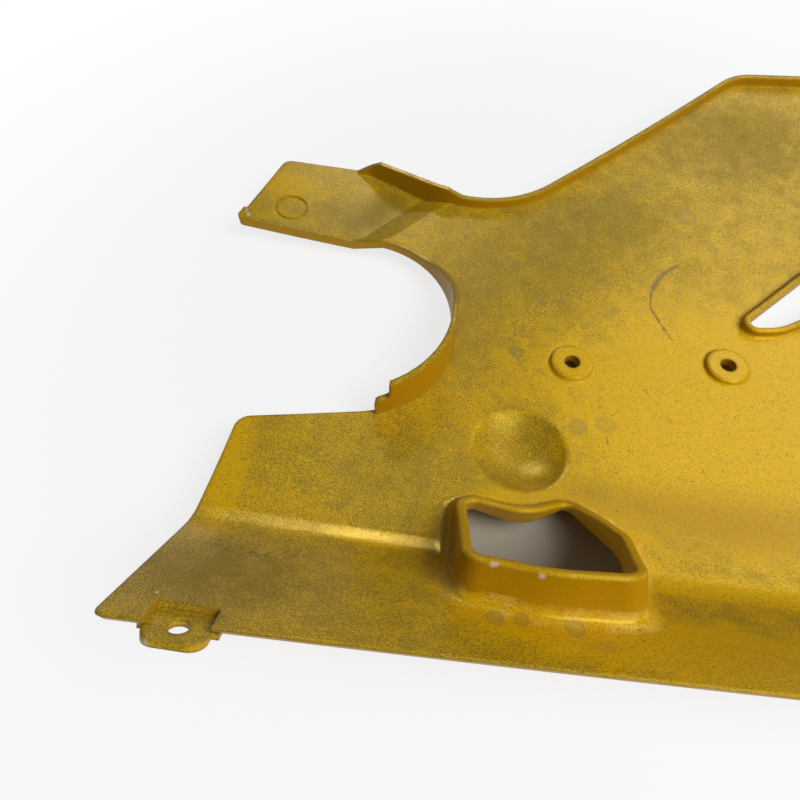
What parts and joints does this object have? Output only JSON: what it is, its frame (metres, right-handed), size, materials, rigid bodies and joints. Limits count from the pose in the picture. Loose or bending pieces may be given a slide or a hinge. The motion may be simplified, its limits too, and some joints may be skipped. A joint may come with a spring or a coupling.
{
  "type": "side fairing panel",
  "caption": "Moulded motorbike side fairing panel, inner face up, with a raised duct collar, pressed dimple, fixing bosses, rimmed vent slot, arm beside a round notch and a lower fixing tab.",
  "frame": {"origin": "midway between the two fixing boss holes, on the shell's inner face", "axes": "+X along the lower fold, from the arm towards the vent slot; +Y across the panel from the folded strip towards the upper edge; +Z out of the inner face, along the boss holes"},
  "size_m": [0.4308, 0.4247, 0.0805],
  "materials": {
    "painted_plastic": "painted, dusty and worn on the inner face"
  },
  "bodies": {
    "root": {"side_fairing_panel": "painted_plastic"}
  },
  "joints": []
}
